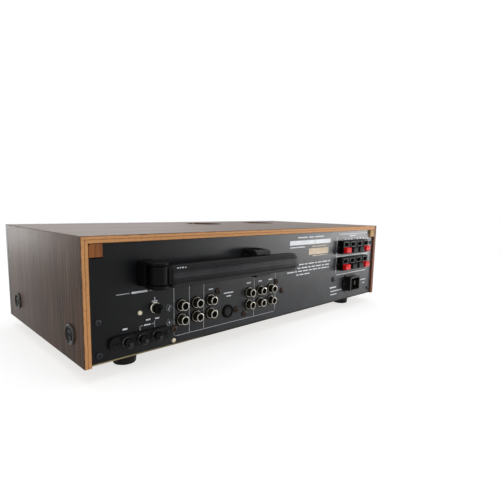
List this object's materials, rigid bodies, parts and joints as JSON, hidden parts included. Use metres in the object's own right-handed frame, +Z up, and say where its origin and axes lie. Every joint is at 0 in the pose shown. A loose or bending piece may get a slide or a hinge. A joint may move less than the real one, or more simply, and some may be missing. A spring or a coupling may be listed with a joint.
{
  "type": "stereo receiver",
  "caption": "Slim stereo receiver in a walnut-veneer sleeve, with dial, knobs, swivel aerial bar, phono sockets and spring speaker terminals.",
  "frame": {"origin": "on the surface the four feet stand on, at the middle of the box from the tuning knob's face to the aerial bar's back", "axes": "+X to the right seen from the front, +Y towards the rear sockets, +Z up"},
  "size_m": [0.475, 0.2692, 0.122],
  "materials": {
    "aluminium": "brushed",
    "black_lever": "satin gloss",
    "black_paint": "satin black paint",
    "black_plastic": "fine satin",
    "block_wood": "raw stained softwood",
    "board_green": "phenolic board",
    "core_steel": "varnished laminations",
    "dark_steel": "satin black",
    "dial_glass": "clear",
    "dial_paint": "printed",
    "nickel": "nickel plate",
    "red_paint": "matte",
    "red_plastic": "satin gloss",
    "rubber": "matte",
    "walnut_veneer": "satin vinyl wood veneer",
    "zinc_steel": "yellow zinc plate"
  },
  "bodies": {
    "receiver": {"aerial_bracket": "black_plastic", "aerial_clip": "black_plastic", "aerial_terminal_strip": "black_plastic", "cabinet_screw_left_front": "dark_steel", "cabinet_screw_left_rear": "dark_steel", "cabinet_screw_right_front": "dark_steel", "cabinet_screw_right_rear": "dark_steel", "cabinet_side_left": "walnut_veneer", "cabinet_side_right": "walnut_veneer", "cabinet_top": "walnut_veneer", "chassis_tray": "zinc_steel", "control_board": "board_green", "corner_block_left": "block_wood", "corner_block_right": "block_wood", "dial_plate": "dial_paint", "dial_window": "dial_glass", "din_socket": "nickel", "foot_front_left": "rubber", "foot_front_right": "rubber", "foot_rear_left": "rubber", "foot_rear_right": "rubber", "front_bezel": "black_plastic", "front_panel": "aluminium", "headphone_socket": "nickel", "heat_sink": "aluminium", "input_sockets": "nickel", "main_board": "board_green", "power_inlet": "black_plastic", "power_transformer": "core_steel", "rear_panel": "black_paint", "signal_meter": "black_plastic", "speaker_terminal_lower": "black_plastic", "speaker_terminal_upper": "black_plastic", "tape_sockets": "nickel", "tuner_board": "board_green"},
    "tuning": {"tuning_knob": "aluminium", "tuning_flywheel": "dark_steel"},
    "pointer": {"dial_pointer": "red_paint"},
    "drum": {"dial_drum": "aluminium"},
    "volume": {"volume_knob": "aluminium"},
    "bass": {"bass_knob": "aluminium"},
    "treble": {"treble_knob": "aluminium"},
    "balance": {"balance_knob": "aluminium"},
    "selector": {"selector_knob": "aluminium"},
    "power": {"power_button": "aluminium"},
    "loudness": {"loudness_button": "aluminium"},
    "needle": {"meter_needle": "red_paint"},
    "bar": {"aerial_bar": "black_plastic"},
    "earth": {"earth_nut": "black_plastic"},
    "aerial_1": {"aerial_nut_1": "black_plastic"},
    "aerial_2": {"aerial_nut_2": "black_plastic"},
    "aerial_3": {"aerial_nut_3": "black_plastic"},
    "lever_upper_1": {"speaker_lever_upper_1": "red_plastic"},
    "lever_upper_2": {"speaker_lever_upper_2": "black_lever"},
    "lever_upper_3": {"speaker_lever_upper_3": "black_lever"},
    "lever_upper_4": {"speaker_lever_upper_4": "red_plastic"},
    "lever_lower_1": {"speaker_lever_lower_1": "red_plastic"},
    "lever_lower_2": {"speaker_lever_lower_2": "black_lever"},
    "lever_lower_3": {"speaker_lever_lower_3": "black_lever"},
    "lever_lower_4": {"speaker_lever_lower_4": "red_plastic"}
  },
  "joints": [
    {"name": "tuning_turn", "type": "hinge", "parent": "receiver", "child": "tuning", "pos_m": [0.18502, -0.1143, 0.08], "axis": [0, 1, 0], "range_deg": [-1360, 1360]},
    {"name": "pointer_slide", "type": "slide", "parent": "receiver", "child": "pointer", "axis": [1, 0, 0], "range_m": [-0.095, 0.095]},
    {"name": "drum_turn", "type": "hinge", "parent": "receiver", "child": "drum", "pos_m": [0.05992, -0.093, 0.082], "axis": [0, 1, 0], "range_deg": [-248, 248]},
    {"name": "volume_turn", "type": "hinge", "parent": "receiver", "child": "volume", "pos_m": [0.10978, -0.1143, 0.04301], "axis": [0, 1, 0], "range_deg": [0, 300]},
    {"name": "bass_turn", "type": "hinge", "parent": "receiver", "child": "bass", "pos_m": [-0.1299, -0.1143, 0.04301], "axis": [0, 1, 0], "range_deg": [-150, 150]},
    {"name": "treble_turn", "type": "hinge", "parent": "receiver", "child": "treble", "pos_m": [-0.08508, -0.1143, 0.04301], "axis": [0, 1, 0], "range_deg": [-150, 150]},
    {"name": "balance_turn", "type": "hinge", "parent": "receiver", "child": "balance", "pos_m": [-0.04025, -0.1143, 0.04301], "axis": [0, 1, 0], "range_deg": [-150, 150]},
    {"name": "selector_turn", "type": "hinge", "parent": "receiver", "child": "selector", "pos_m": [0.04803, -0.1143, 0.04301], "axis": [0, 1, 0], "range_deg": [-60, 60]},
    {"name": "power_press", "type": "slide", "parent": "receiver", "child": "power", "axis": [0, 1, 0], "range_m": [0, 0.004], "stiffness_N_per_m": 150},
    {"name": "loudness_press", "type": "slide", "parent": "receiver", "child": "loudness", "axis": [0, 1, 0], "range_m": [0, 0.004], "stiffness_N_per_m": 150},
    {"name": "needle_swing", "type": "hinge", "parent": "receiver", "child": "needle", "pos_m": [-0.16787, -0.10435, 0.07969], "axis": [0, 1, 0], "range_deg": [0, 80], "stiffness_Nm_per_rad": 0.0005},
    {"name": "aerial_swing", "type": "hinge", "parent": "receiver", "child": "bar", "pos_m": [0.1775, 0.1263, 0.08852], "axis": [0, 0, -1], "range_deg": [0, 90]},
    {"name": "earth_turn", "type": "hinge", "parent": "receiver", "child": "earth", "pos_m": [0.168, 0.1056, 0.05437], "axis": [0, 1, 0], "range_deg": [0, 720]},
    {"name": "aerial_1_turn", "type": "hinge", "parent": "receiver", "child": "aerial_1", "pos_m": [0.1689, 0.1089, 0.02952], "axis": [0, 1, 0], "range_deg": [0, 720]},
    {"name": "aerial_2_turn", "type": "hinge", "parent": "receiver", "child": "aerial_2", "pos_m": [0.1835, 0.1089, 0.02952], "axis": [0, 1, 0], "range_deg": [0, 720]},
    {"name": "aerial_3_turn", "type": "hinge", "parent": "receiver", "child": "aerial_3", "pos_m": [0.1981, 0.1089, 0.02952], "axis": [0, 1, 0], "range_deg": [0, 720]},
    {"name": "lever_upper_1_press", "type": "slide", "parent": "receiver", "child": "lever_upper_1", "axis": [0, -1, 0], "range_m": [0, 0.0035], "stiffness_N_per_m": 400},
    {"name": "lever_upper_2_press", "type": "slide", "parent": "receiver", "child": "lever_upper_2", "axis": [0, -1, 0], "range_m": [0, 0.0035], "stiffness_N_per_m": 400},
    {"name": "lever_upper_3_press", "type": "slide", "parent": "receiver", "child": "lever_upper_3", "axis": [0, -1, 0], "range_m": [0, 0.0035], "stiffness_N_per_m": 400},
    {"name": "lever_upper_4_press", "type": "slide", "parent": "receiver", "child": "lever_upper_4", "axis": [0, -1, 0], "range_m": [0, 0.0035], "stiffness_N_per_m": 400},
    {"name": "lever_lower_1_press", "type": "slide", "parent": "receiver", "child": "lever_lower_1", "axis": [0, -1, 0], "range_m": [0, 0.0035], "stiffness_N_per_m": 400},
    {"name": "lever_lower_2_press", "type": "slide", "parent": "receiver", "child": "lever_lower_2", "axis": [0, -1, 0], "range_m": [0, 0.0035], "stiffness_N_per_m": 400},
    {"name": "lever_lower_3_press", "type": "slide", "parent": "receiver", "child": "lever_lower_3", "axis": [0, -1, 0], "range_m": [0, 0.0035], "stiffness_N_per_m": 400},
    {"name": "lever_lower_4_press", "type": "slide", "parent": "receiver", "child": "lever_lower_4", "axis": [0, -1, 0], "range_m": [0, 0.0035], "stiffness_N_per_m": 400}
  ],
  "couplings": [
    {"joint": "pointer_slide", "follows": "tuning_turn", "m_per_rad": 0.004},
    {"joint": "drum_turn", "follows": "tuning_turn", "ratio": 0.18182}
  ]
}
